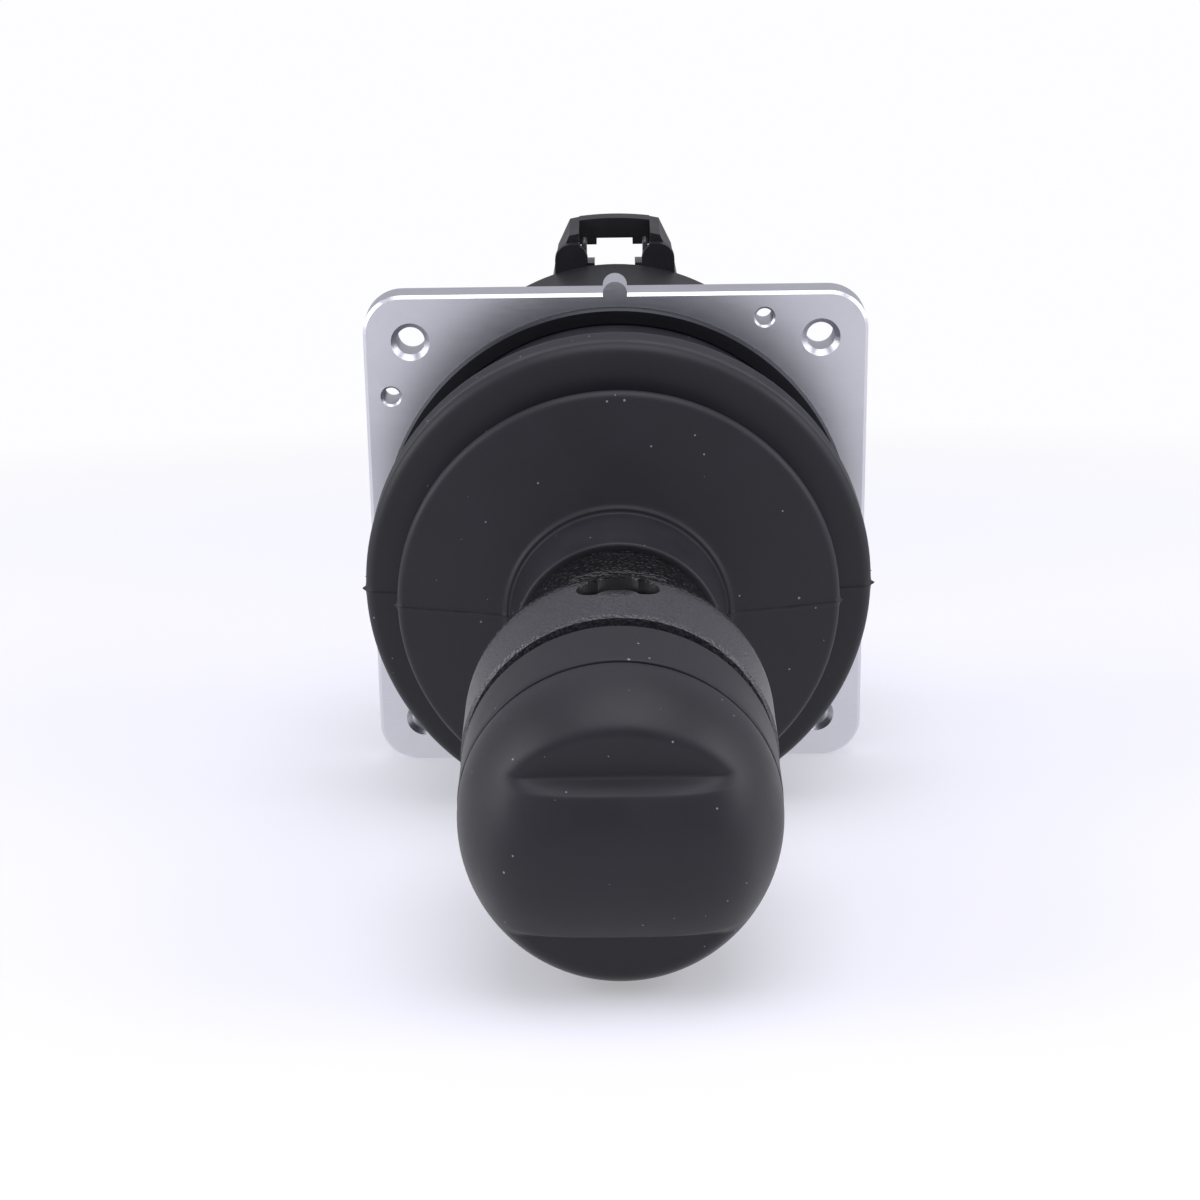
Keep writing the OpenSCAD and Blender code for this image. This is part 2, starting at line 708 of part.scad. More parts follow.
module knob_cup() {
    full = plate_top + cup_full_h;
    rim = plate_top + cup_rim_h;
    spigot_z = plate_top + boot_neck_h - 1;
    shoulder = plate_top + boot_end_h + 0.1;
    // the flare is a straight flank between a hollow bend and a full one
    neck_end = shoulder + 9.4;
    rise = cup_r - neck_r;
    flare = 1.41 * atan2(rise, full - neck_end);
    bends = ((full - neck_end) * sin(flare) - rise * cos(flare)) / (1 - cos(flare));
    bend = 0.68 * bends;
    round_r = bends - bend;
    outside = concat([[spigot_r, spigot_z], [spigot_r, shoulder], [neck_r - 0.4, shoulder], [neck_r, shoulder + 0.4]],
        arc([neck_r + bend, neck_end], bend, 180, 180 - flare, 6),
        arc([cup_r - round_r, full], round_r, -flare, 0, 5),
        [[cup_r, rim - 0.5], [cup_r - 0.5, rim]]);
    hollow = [[cup_in, rim], [cup_in, core_z0 + 3], [cup_in - 3, core_z0], [rod_r + seat, core_z0],
        [rod_r + seat, spigot_z]];
    color([0.15, 0.15, 0.17]) difference() {
        union() {
            revolve(concat(outside, hollow));
            // pad that the clamp screw's head bears on
            intersection() {
                translate([-8, core_r + 0.1, core_z0]) cube([16, cup_in - core_r + 1, core_flange_z - core_z0 - 0.3]);
                translate([0, 0, core_z0]) cylinder(r = cup_in + 0.5, h = 30);
            }
        }
        screw_pocket();
        translate([0, 0, clamp_z]) along_y(2.6, core_r - 1, clamp_seat_y + 1);
    }
}

module clamp_screw() {
    color([0.8, 0.8, 0.82]) translate([0, clamp_seat_y, clamp_z]) rotate([-90, 0, 0])
        cap_screw(2.5 - seat, clamp_head_d / 2, clamp_head_h, clamp_seat_y - 7.5);
}

module knob_core() {
    color([0.55, 0.55, 0.58]) difference() {
        union() {
            translate([0, 0, core_z0]) cylinder(r = core_r, h = core_flange_z - core_z0 + eps);
            translate([0, 0, core_flange_z]) cylinder(r = core_flange_r, h = core_top - core_flange_z);
        }
        translate([0, 0, core_z0 - 1]) cylinder(r = rod_r + seat, h = rod_top - core_z0 + 1 + seat);
        translate([0, 0, rod_top - 1]) cylinder(r = 2.2, h = 20);
        translate([0, 0, rod_top + 2]) cylinder(r = 6, h = 20);
        translate([0, 0, clamp_z]) along_y(2.5, 7.4, core_r + 1);
    }
}

module knob_switch() {
    color([0.2, 0.2, 0.45]) translate([0, 0, rod_top + 2]) difference() {
        cylinder(r = 6 - seat, h = core_top + 4 - rod_top - 2);
        translate([0, 0, 5]) cylinder(r = 2.5 + running, h = 30);
    }
}

module switch_button() {
    low = core_top + 4 - 5.5;
    color([0.8, 0.2, 0.15]) translate([0, 0, low]) cylinder(r = 2.5, h = piston_disc_z - 3 - low);
}

module knob_spring() {
    r = 15.5;
    wire_r = 0.8;
    turns = 4;
    steps = 80;
    z0 = core_top + wire_r + 0.1;
    rise = piston_disc_z - wire_r - 0.1 - z0;
    path = [for (i = [0:steps]) let (a = 360 * turns * i / steps) [r * cos(a), r * sin(a), z0 + rise * i / steps]];
    color([0.6, 0.61, 0.65]) wire(path, wire_r, [0, 0, 1]);
}

// Sprung leg of the piston, hooked under the core's flange
module piston_leg() {
    inner = core_flange_r + 0.5;
    low = core_flange_z - 2.2;
    translate([inner, -3, low]) cube([1.4, 6, piston_disc_z - low + eps]);
    translate([inner - 1.6, -3, low]) cube([1.6 + eps, 6, 1.9]);
}

module cap_core() {
    color([0.2, 0.2, 0.22]) {
        difference() {
            union() {
                translate([0, 0, piston_low]) ring(piston_r, piston_r - 1.8, piston_top - piston_low);
                translate([0, 0, piston_disc_z]) cylinder(r = piston_r, h = piston_top - piston_disc_z);
                translate([0, 0, piston_top - eps]) cylinder(r = boss_r, h = boss_h + eps);
            }
            translate([0, 0, piston_disc_z - 1]) cylinder(r = 8, h = boss_h);
        }
        for (a = [30, 150, 270]) rotate([0, 0, a]) piston_leg();
        // post that meets the switch's button
        translate([0, 0, piston_disc_z - 3]) cylinder(r = 4, h = boss_h + 1);
        translate([0, 0, piston_top]) cylinder(r = 9, h = boss_h - 1);
    }
}

module push_sleeve() {
    r = cup_r - 0.3;
    color([0.17, 0.17, 0.19]) translate([0, 0, sleeve_z])
        revolve([[piston_r + seat, 0], [r - 0.6, 0], [r, 0.6], [r, sleeve_h], [piston_r + seat, sleeve_h]]);
}

module rubber_cap() {
    centre = plate_top + dome_h;
    top = plate_top + cap_top_h;
    floor_z = plate_top + scoop_h;
    crown = 160;
    color([0.16, 0.16, 0.18]) difference() {
        intersection() {
            translate([0, 0, centre]) sphere(r = dome_r);
            translate([0, 0, cap_z]) cylinder(r = dome_r + 1, h = top - cap_z + 2);
            translate([0, 0, top - crown]) rotate([90, 0, 0]) cylinder(r = crown, h = 80, center = true, $fn = 400);
        }
        translate([0, 0, cap_z - 1]) cylinder(r = boss_r + seat, h = boss_h + 1 + seat);
        for (s = [-1, 1]) scale([1, s, 1]) translate([-30, bar_half, floor_z]) cube([60, 30, 30]);
    }
}

flange_plate();
boot_ring();
boot();
housing();
housing_screws();
bottom_cover();
cover_screws();
wire_grommet();
pivot_bushes();
bearing_caps();
gimbal_ring();
gimbal_pins();
lever_pins();
cam_x();
spring_x();
slotted_bail();
bail_pins();
cam_y();
spring_y();
lever_hub();
lever_rod();
push_rod_left();
push_rod_right();
push_rod_front();
push_rod_rear();
contact_frame_y();
contact_frame_x();
switches_y();
switches_x();
terminals_y();
terminals_x();
frame_screws();
switch_screws();
knob_cup();
clamp_screw();
knob_core();
knob_switch();
knob_spring();
switch_button();
cap_core();
push_sleeve();
rubber_cap();
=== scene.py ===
"""Industrial joystick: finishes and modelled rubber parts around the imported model."""

from math import cos, hypot, pi, radians, sin, sqrt

import bpy
from bpy.props import FloatProperty, FloatVectorProperty, IntProperty, PointerProperty
from mathutils import Matrix, Vector, noise


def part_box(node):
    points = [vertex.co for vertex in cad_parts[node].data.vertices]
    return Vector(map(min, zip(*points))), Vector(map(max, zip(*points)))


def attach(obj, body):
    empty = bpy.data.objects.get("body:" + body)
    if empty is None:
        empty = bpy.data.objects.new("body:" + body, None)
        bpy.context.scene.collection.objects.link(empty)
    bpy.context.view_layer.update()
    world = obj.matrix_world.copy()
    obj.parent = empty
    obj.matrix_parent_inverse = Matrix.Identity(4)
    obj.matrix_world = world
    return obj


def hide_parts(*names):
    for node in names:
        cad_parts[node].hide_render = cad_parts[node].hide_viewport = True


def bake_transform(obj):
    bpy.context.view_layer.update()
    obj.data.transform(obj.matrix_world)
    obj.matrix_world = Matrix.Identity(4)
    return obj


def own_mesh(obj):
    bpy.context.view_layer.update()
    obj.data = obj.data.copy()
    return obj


bl_info = {
    "name": "Industrial Joystick",
    "version": (1, 0, 0),
    "blender": (4, 5, 0),
    "location": "View3D > Sidebar > Joystick",
    "description": "Rubber boot, finger cap, springs and finishes of a panel joystick",
    "category": "Add Mesh",
}

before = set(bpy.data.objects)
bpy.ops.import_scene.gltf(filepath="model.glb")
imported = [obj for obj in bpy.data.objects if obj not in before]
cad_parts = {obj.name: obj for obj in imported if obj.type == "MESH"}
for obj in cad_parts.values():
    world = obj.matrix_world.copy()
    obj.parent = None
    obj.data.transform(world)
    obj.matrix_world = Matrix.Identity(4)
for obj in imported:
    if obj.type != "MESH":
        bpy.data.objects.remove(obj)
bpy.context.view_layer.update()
MM = 0.001
PLATE_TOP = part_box("flange_plate")[1].z
CLAMP_Z = sum(corner.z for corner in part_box("clamp_screw")) / 2
# the knob cup's band starts at this height; it is rougher and carries a painted sheen, a lighter colour
SATIN_AND_SHEEN_BAND_HEIGHT = 91.5 * MM
POCKET_HALF_WIDTH = 8 * MM
POCKET_HALF_HEIGHT = 5.2 * MM
DUST_ON_RUBBER = (0.22, 0.22, 0.25)
DUST_ON_CUP = (0.3, 0.3, 0.34)
BACKDROP_COLOUR = (0.985, 0.985, 1.0, 1)
LAMP_COLOUR = (0.96, 0.96, 1.0)
LAMPS = (
    # name, place, side of its square, watts
    ("softbox_left", (-0.72, 0.30, 0.10), 0.55, 3.0),
    ("softbox_right", (0.72, 0.34, 0.08), 0.55, 2.6),
    ("softbox_top", (0.05, 0.80, 0.06), 0.75, 4.0),
)


# ---------------------------------------------------------------- properties

class JoystickSizes(bpy.types.PropertyGroup):
    """Sizes of the modelled pieces. Heights are counted from the top of the flange."""

    boot_wall: FloatProperty(name="Boot wall", description="Rubber thickness of the boot",
                             default=1.8 * MM, unit="LENGTH")
    root_radius: FloatProperty(name="Boot root radius", description="Wall that rises from the clamp ring",
                               default=42.3 * MM, unit="LENGTH")
    fold_radius: FloatProperty(name="Fold radius", description="Outer radius of the convolution",
                               default=46.75 * MM, unit="LENGTH")
    fold_low: FloatProperty(name="Lower lip", description="Height of the convolution's lower lip",
                            default=21 * MM, unit="LENGTH")
    fold_high: FloatProperty(name="Upper lip", description="Height of the convolution's upper lip",
                             default=29.8 * MM, unit="LENGTH")
    groove_radius: FloatProperty(name="Groove radius", description="Radius at the bottom of the groove",
                                 default=34.2 * MM, unit="LENGTH")
    disc_radius: FloatProperty(name="Disc radius", description="Radius of the boot's disc",
                               default=40.3 * MM, unit="LENGTH")
    disc_height: FloatProperty(name="Disc height", description="Height of the disc's rim",
                               default=38.5 * MM, unit="LENGTH")
    neck_radius: FloatProperty(name="Neck radius", description="Radius where the neck leaves the disc",
                               default=20 * MM, unit="LENGTH")
    neck_height: FloatProperty(name="Neck height", description="Height where the neck leaves the disc",
                               default=42.5 * MM, unit="LENGTH")
    neck_bore: FloatProperty(name="Neck bore", description="Inner radius of the neck",
                             default=15.7 * MM, unit="LENGTH")
    parting_ridge: FloatProperty(name="Parting ridge", description="Height of the moulding line",
                                 default=0.2 * MM, unit="LENGTH")
    flash_nib: FloatProperty(name="Flash nib", description="Reach of the flash left on the rims",
                             default=0.55 * MM, unit="LENGTH")
    dome_drop: FloatProperty(name="Dome drop", description="Height of the dome's centre over the cap's edge",
                             default=1.6 * MM, unit="LENGTH")
    scoop_floor: FloatProperty(name="Scoop floor", description="Height of the scoops' floor over the dome's centre",
                               default=13.9 * MM, unit="LENGTH")
    bar_half: FloatProperty(name="Bar half width", description="Half width of the bar at its foot",
                            default=13.4 * MM, unit="LENGTH")
    bar_draft: FloatProperty(name="Bar draft", description="Width of the bar's sloping side",
                             default=1.5 * MM, unit="LENGTH")
    segments: IntProperty(name="Segments", description="Steps round a turned piece", default=220, min=48)


class JoystickColours(bpy.types.PropertyGroup):
    """Base colours of the finishes."""

    rubber: FloatVectorProperty(name="Rubber", description="Boot and cap", subtype="COLOR",
                                default=(0.013, 0.013, 0.0175))
    grained: FloatVectorProperty(name="Grained plastic", description="Knob cup", subtype="COLOR",
                                 default=(0.009, 0.009, 0.011))
    plastic: FloatVectorProperty(name="Moulded plastic", description="Housing and contact blocks",
                                 subtype="COLOR", default=(0.011, 0.011, 0.014))
    flange: FloatVectorProperty(name="Flange", description="Bare cast and milled aluminium", subtype="COLOR",
                                default=(0.66, 0.66, 0.72))
    floor: FloatVectorProperty(name="Floor", description="Sweep under the object", subtype="COLOR",
                               default=(0.83, 0.82, 0.92))


# ------------------------------------------------------------- shader groups

def new_group(name, inputs, outputs):
    """An empty shader node group with float or colour sockets."""
    tree = bpy.data.node_groups.new(name, "ShaderNodeTree")
    for label, kind, value in inputs:
        socket = tree.interface.new_socket(label, in_out="INPUT", socket_type=kind)
        if value is not None:
            socket.default_value = value
    for label, kind in outputs:
        tree.interface.new_socket(label, in_out="OUTPUT", socket_type=kind)
    start = tree.nodes.new("NodeGroupInput")
    end = tree.nodes.new("NodeGroupOutput")
    return tree, start, end


def texture_noise(tree, vector, scale, detail=4.0, roughness=0.55):
    node = tree.nodes.new("ShaderNodeTexNoise")
    node.inputs["Detail"].default_value = detail
    node.inputs["Roughness"].default_value = roughness
    tree.links.new(vector, node.inputs["Vector"])
    set_or_link(tree, scale, node.inputs["Scale"])
    return node.outputs["Fac"]


def set_or_link(tree, value, socket):
    """Sets a plain number on a socket, or links another socket to it."""
    if isinstance(value, (int, float)):
        socket.default_value = value
    else:
        tree.links.new(value, socket)


def maths(tree, operation, a, b=0.0):
    node = tree.nodes.new("ShaderNodeMath")
    node.operation = operation
    set_or_link(tree, a, node.inputs[0])
    set_or_link(tree, b, node.inputs[1])
    return node.outputs[0]


def remap(tree, value, low, high, to_low=0.0, to_high=1.0):
    node = tree.nodes.new("ShaderNodeMapRange")
    for label, number in (("From Min", low), ("From Max", high)):
        node.inputs[label].default_value = number
    set_or_link(tree, to_low, node.inputs["To Min"])
    set_or_link(tree, to_high, node.inputs["To Max"])
    tree.links.new(value, node.inputs["Value"])
    return node.outputs["Result"]


def grain_group():
    """Fine moulded grain: a height, and a mask that varies slowly over the surface."""
    tree, start, end = new_group(
        "Moulded Grain",
        [("Vector", "NodeSocketVector", None), ("Scale", "NodeSocketFloat", 2500.0),
         ("Patches", "NodeSocketFloat", 90.0)],
        [("Height", "NodeSocketFloat"), ("Mottle", "NodeSocketFloat")])
    fine = texture_noise(tree, start.outputs["Vector"], start.outputs["Scale"])
    slow = texture_noise(tree, start.outputs["Vector"], start.outputs["Patches"], 3.0)
    tree.links.new(fine, end.inputs["Height"])
    tree.links.new(remap(tree, slow, 0.3, 0.7), end.inputs["Mottle"])
    return tree


def dust_group():
    """Sparse pale specks of dust, one or two tenths of a millimetre across."""
    tree, start, end = new_group(
        "Dust Specks",
        [("Vector", "NodeSocketVector", None), ("Scale", "NodeSocketFloat", 640.0),
         ("Amount", "NodeSocketFloat", 0.13)],
        [("Mask", "NodeSocketFloat")])
    cells = tree.nodes.new("ShaderNodeTexVoronoi")
    tree.links.new(start.outputs["Vector"], cells.inputs["Vector"])
    tree.links.new(start.outputs["Scale"], cells.inputs["Scale"])
    split = tree.nodes.new("ShaderNodeSeparateColor")
    tree.links.new(cells.outputs["Color"], split.inputs[0])
    size = remap(tree, split.outputs[1], 0.0, 1.0, 0.03, start.outputs["Amount"])
    inside = maths(tree, "LESS_THAN", cells.outputs["Distance"], size)
    chosen = maths(tree, "GREATER_THAN", split.outputs[0], 0.9)
    tree.links.new(maths(tree, "MULTIPLY", inside, chosen), end.inputs["Mask"])
    return tree


def leather_group():
    """Pebbled grain: rounded cells with creases between them, and a mask for painted shade in the creases."""
    tree, start, end = new_group(
        "Pebbled Grain",
        [("Vector", "NodeSocketVector", None), ("Scale", "NodeSocketFloat", 1150.0)],
        [("Height", "NodeSocketFloat"), ("Crease Shade", "NodeSocketFloat")])
    warp = tree.nodes.new("ShaderNodeTexNoise")
    warp.inputs["Scale"].default_value = 900.0
    tree.links.new(start.outputs["Vector"], warp.inputs["Vector"])
    bend = tree.nodes.new("ShaderNodeVectorMath")
    bend.operation = "MULTIPLY_ADD"
    bend.inputs[1].default_value = (0.0008,) * 3
    tree.links.new(warp.outputs["Color"], bend.inputs[0])
    tree.links.new(start.outputs["Vector"], bend.inputs[2])
    cells = tree.nodes.new("ShaderNodeTexVoronoi")
    cells.feature = "SMOOTH_F1"
    cells.inputs["Smoothness"].default_value = 0.35
    tree.links.new(bend.outputs[0], cells.inputs["Vector"])
    tree.links.new(start.outputs["Scale"], cells.inputs["Scale"])
    height = maths(tree, "SUBTRACT", 1.0, cells.outputs["Distance"])
    tree.links.new(height, end.inputs["Height"])
    # mask for painted shade in the creases between the cells
    tree.links.new(remap(tree, cells.outputs["Distance"], 0.35, 0.7), end.inputs["Crease Shade"])
    return tree


def brushed_group():
    """Streaks along one direction with scattered handling marks."""
    tree, start, end = new_group(
        "Brushed Metal",
        [("Vector", "NodeSocketVector", None), ("Scale", "NodeSocketFloat", 160.0)],
        [("Streaks", "NodeSocketFloat"), ("Stains", "NodeSocketFloat")])
    stretch = tree.nodes.new("ShaderNodeMapping")
    stretch.inputs["Scale"].default_value = (1.0, 26.0, 26.0)
    tree.links.new(start.outputs["Vector"], stretch.inputs["Vector"])
    streaks = texture_noise(tree, stretch.outputs[0], start.outputs["Scale"], 5.0, 0.7)
    stains = texture_noise(tree, start.outputs["Vector"], 70.0, 6.0, 0.65)
    tree.links.new(streaks, end.inputs["Streaks"])
    tree.links.new(remap(tree, stains, 0.35, 0.75), end.inputs["Stains"])
    return tree


def parting_shade_group():
    """Mask for painted shade: a thin moulding line in the plane of the lever and the X axis, broken here and there.
    """
    tree, start, end = new_group(
        "Parting Line Shade",
        [("Vector", "NodeSocketVector", None), ("Width", "NodeSocketFloat", 0.00035)],
        [("Mask", "NodeSocketFloat")])
    split = tree.nodes.new("ShaderNodeSeparateXYZ")
    tree.links.new(start.outputs["Vector"], split.inputs[0])
    across = maths(tree, "DIVIDE", maths(tree, "ABSOLUTE", split.outputs["Y"]), start.outputs["Width"])
    breaks = remap(tree, texture_noise(tree, start.outputs["Vector"], 260.0), 0.35, 0.6, 0.25, 1.0)
    line = remap(tree, across, 0.4, 1.0, 1.0, 0.0)
    tree.links.new(maths(tree, "MULTIPLY", line, breaks), end.inputs["Mask"])
    return tree


def knob_zone_group():
    """Masks of the knob cup: its band, which carries a painted sheen and a rougher finish, and the inside of its
    screw pocket, which carries painted shade and a plain wall.
    """
    tree, start, end = new_group(
        "Knob Zones",
        [("Vector", "NodeSocketVector", None), ("Band Start", "NodeSocketFloat", 0.096),
         ("Pocket Height", "NodeSocketFloat", 0.1), ("Pocket Radius", "NodeSocketFloat", 0.025)],
        [("Band", "NodeSocketFloat"), ("Pocket", "NodeSocketFloat")])
    split = tree.nodes.new("ShaderNodeSeparateXYZ")
    tree.links.new(start.outputs["Vector"], split.inputs[0])
    x, y, z = split.outputs
    above = maths(tree, "SUBTRACT", z, start.outputs["Band Start"])
    tree.links.new(remap(tree, above, -0.0025, 0.0025), end.inputs["Band"])
    squares = maths(tree, "ADD", maths(tree, "MULTIPLY", x, x), maths(tree, "MULTIPLY", y, y))
    reach = maths(tree, "SQRT", squares)
    inside = maths(tree, "LESS_THAN", reach, start.outputs["Pocket Radius"])
    beside = maths(tree, "LESS_THAN", maths(tree, "ABSOLUTE", x), POCKET_HALF_WIDTH)
    level = maths(tree, "ABSOLUTE", maths(tree, "SUBTRACT", z, start.outputs["Pocket Height"]))
    near = maths(tree, "MULTIPLY", maths(tree, "LESS_THAN", level, POCKET_HALF_HEIGHT),
                 maths(tree, "GREATER_THAN", y, 0.0))
    pocket = maths(tree, "MULTIPLY", maths(tree, "MULTIPLY", inside, beside), near)
    tree.links.new(pocket, end.inputs["Pocket"])
    return tree


GROUPS = {}


def place_group(tree, name, **values):
    """Puts a shared group in a material, fed with Object coordinates."""
    node = tree.nodes.new("ShaderNodeGroup")
    node.node_tree = GROUPS[name]
    coordinates = tree.nodes.new("ShaderNodeTexCoord")
    tree.links.new(coordinates.outputs["Object"], node.inputs["Vector"])
    for label, value in values.items():
        node.inputs[label].default_value = value
    return node


# ----------------------------------------------------------------- materials

def new_material(name, metallic=0.0, specular=0.5):
    material = bpy.data.materials.new(name)
    material.use_nodes = True
    shader = material.node_tree.nodes["Principled BSDF"]
    shader.inputs["Metallic"].default_value = metallic
    shader.inputs["Specular IOR Level"].default_value = specular
    return material, material.node_tree, shader


def mix_colour(tree, factor, a, b):
    node = tree.nodes.new("ShaderNodeMix")
    node.data_type = "RGBA"
    set_or_link(tree, factor, node.inputs["Factor"])
    for value, socket in ((a, node.inputs["A"]), (b, node.inputs["B"])):
        if isinstance(value, bpy.types.NodeSocket):
            tree.links.new(value, socket)
        else:
            socket.default_value = (*value, 1.0)
    return node.outputs["Result"]


def bump(tree, shader, height, distance, strength=1.0):
    node = tree.nodes.new("ShaderNodeBump")
    node.inputs["Distance"].default_value = distance
    node.inputs["Strength"].default_value = strength
    tree.links.new(height, node.inputs["Height"])
    tree.links.new(node.outputs["Normal"], shader.inputs["Normal"])


def shade(colour, factor):
    """A colour made lighter or darker."""
    return tuple(min(1.0, c * factor) for c in colour)


def rubber_material(name, colour, roughness, dust=0.13, grain=0.000012, parting_line_shade=False):
    """Moulded rubber: mottled sheen, fine grain and clinging dust. Its last flag adds painted shade, a dark line
    along the moulding line.
    """
    material, tree, shader = new_material(name, specular=0.34)
    texture = place_group(tree, "grain")
    specks = place_group(tree, "dust", Amount=dust)
    base = mix_colour(tree, texture.outputs["Mottle"], shade(colour, 0.86), shade(colour, 1.16))
    if parting_line_shade:
        line = place_group(tree, "parting")
        # painted shade: the moulding line is darkened to a fifth of the rubber's colour, in place of the shade
        # under its ridge
        base = mix_colour(tree, line.outputs["Mask"], base, shade(colour, 0.2))
    dusty = mix_colour(tree, specks.outputs["Mask"], base, DUST_ON_RUBBER)
    tree.links.new(dusty, shader.inputs["Base Color"])
    rough = remap(tree, texture.outputs["Mottle"], 0.0, 1.0, roughness - 0.05, roughness + 0.06)
    tree.links.new(rough, shader.inputs["Roughness"])
    bump(tree, shader, texture.outputs["Height"], grain)
    return material


def grained_material(colour):
    """Knob cup: glossy pebbled neck, a band of finer grain and satiny finish with a painted sheen, smooth screw
    pocket with painted shade; painted shade also darkens the creases of the grain.
    """
    material, tree, shader = new_material("Pebbled gloss plastic", specular=0.75)
    pebbles = place_group(tree, "leather")
    fine = place_group(tree, "leather", Scale=2300.0)
    zones = place_group(tree, "zones", **{"Band Start": PLATE_TOP + SATIN_AND_SHEEN_BAND_HEIGHT, "Pocket Height": CLAMP_Z,
                                          "Pocket Radius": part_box("knob_cup")[1].x - 0.5 * MM})
    specks = place_group(tree, "dust", Amount=0.1)
    # painted shade: the neck's colour darkens to a third of its tone in the creases between the pebbles
    glossy = mix_colour(tree, pebbles.outputs["Crease Shade"], shade(colour, 0.9), shade(colour, 0.3))
    # painted sheen: the band's colour is two to four times the cup's, standing in for the top light it reflects;
    # painted shade darkens its finer creases
    satin_band_sheen = mix_colour(tree, fine.outputs["Crease Shade"], shade(colour, 4.2), shade(colour, 2.0))
    base = mix_colour(tree, zones.outputs["Band"], glossy, satin_band_sheen)
    base = mix_colour(tree, specks.outputs["Mask"], base, DUST_ON_CUP)
    # painted shade: the inside of the screw pocket is darkened to about a third of the cup's colour
    base = mix_colour(tree, zones.outputs["Pocket"], base, shade(colour, 0.35))
    tree.links.new(base, shader.inputs["Base Color"])
    rough = remap(tree, zones.outputs["Band"], 0.0, 1.0, 0.17, 0.4)
    tree.links.new(remap(tree, zones.outputs["Pocket"], 0.0, 1.0, rough, 0.5), shader.inputs["Roughness"])
    height = maths(tree, "ADD", pebbles.outputs["Height"],
                   maths(tree, "MULTIPLY", zones.outputs["Band"],
                         maths(tree, "SUBTRACT", maths(tree, "MULTIPLY", fine.outputs["Height"], 0.45),
                               pebbles.outputs["Height"])))
    plain_wall = maths(tree, "SUBTRACT", 1.0, zones.outputs["Pocket"])
    bump(tree, shader, maths(tree, "MULTIPLY", height, plain_wall), 0.00024, 0.9)
    return material


def plastic_material(name, colour, roughness):
    """Spark-eroded moulded plastic."""
    material, tree, shader = new_material(name, specular=0.4)
    texture = place_group(tree, "grain", Scale=1900.0)
    tree.links.new(mix_colour(tree, texture.outputs["Mottle"], shade(colour, 0.88), shade(colour, 1.14)),
                   shader.inputs["Base Color"])
    tree.links.new(remap(tree, texture.outputs["Mottle"], 0.0, 1.0, roughness - 0.06, roughness + 0.06),
                   shader.inputs["Roughness"])
    bump(tree, shader, texture.outputs["Height"], 0.00003)
    return material


def metal_material(name, colour, roughness, scale=160.0, stain=0.78):
    """Brushed or ground metal with faint stains."""
    material, tree, shader = new_material(name, metallic=1.0)
    texture = place_group(tree, "brushed", Scale=scale)
    streaked = mix_colour(tree, texture.outputs["Streaks"], shade(colour, 0.9), shade(colour, 1.08))
    tree.links.new(mix_colour(tree, maths(tree, "MULTIPLY", texture.outputs["Stains"], 0.35),
                              streaked, shade(colour, stain)), shader.inputs["Base Color"])
    tree.links.new(remap(tree, texture.outputs["Streaks"], 0.25, 0.75, roughness - 0.06, roughness + 0.1),
                   shader.inputs["Roughness"])
    bump(tree, shader, texture.outputs["Streaks"], 0.000012)
    return material


# ------------------------------------------------------------------ geometry

def arc(centre, radius, start, end, steps):
    """Points of an arc in the profile plane, angles in degrees."""
    return [(centre[0] + radius * cos(radians(start + (end - start) * i / steps)),
             centre[1] + radius * sin(radians(start + (end - start) * i / steps))) for i in range(steps + 1)]


def make_object(name, vertices, faces, material, smooth=True):
    mesh = bpy.data.meshes.new(name)
    mesh.from_pydata(vertices, [], faces)
    mesh.validate()
    mesh.materials.append(material)
    mesh.polygons.foreach_set("use_smooth", [smooth] * len(mesh.polygons))
    piece = bpy.data.objects.new(name, mesh)
    bpy.context.scene.collection.objects.link(piece)
    return piece


def densify(profile, step):
    """Splits long stretches of a closed profile so that its faces stay even."""
    points = []
    for (r0, z0), (r1, z1) in zip(profile, profile[1:] + profile[:1]):
        count = max(1, int(hypot(r1 - r0, z1 - z0) / step))
        points += [(r0 + (r1 - r0) * i / count, z0 + (z1 - z0) * i / count) for i in range(count)]
    return points


def outline_normals(profile):
    """Outward unit vectors of a closed profile that runs upwards on its outside."""
    normals = []
    for i, _ in enumerate(profile):
        (r0, z0), (r1, z1) = profile[i - 1], profile[(i + 1) % len(profile)]
        length = hypot(r1 - r0, z1 - z0) or 1.0
        normals.append(((z1 - z0) / length, (r0 - r1) / length))
    return normals


def turned_ring(name, profile, angles, material, shift):
    """A closed profile (radius, height) turned about the lever's axis. shift moves each point outwards."""
    rows = len(profile)
    normals = outline_normals(profile)
    vertices = []
    for angle in angles:
        for (radius, height), (nr, nz) in zip(profile, normals):
            out = shift(radius, height, angle)
            reach = radius + nr * out
            vertices.append((reach * cos(angle), reach * sin(angle), height + nz * out))
    count = len(angles)
    faces = []
    for i in range(count):
        j = (i + 1) % count
        for k in range(rows):
            m = (k + 1) % rows
            faces.append((i * rows + k, j * rows + k, j * rows + m, i * rows + m))
    return make_object(name, vertices, faces, material)


def smooth_step(low, high, value):
    """0 below low, 1 above high, and a smooth rise between them."""
    t = min(1.0, max(0.0, (value - low) / (high - low)))
    return t * t * (3 - 2 * t)


def smooth_min(a, b, width):
    """The lower of two heights, blended where they lie within width of each other."""
    h = max(width - abs(a - b), 0.0) / width
    return min(a, b) - h * h * width * 0.25


def parting_angles(segments):
    """Even angles, with extra ones where the moulding line runs at both sides."""
    even = [2 * pi * i / segments for i in range(segments)]
    extra = [side + radians(step) for side in (0, pi) for step in (-0.45, -0.2, 0.2, 0.45)]
    return sorted(a % (2 * pi) for a in even + extra)


# ----------------------------------------------------------------- operators

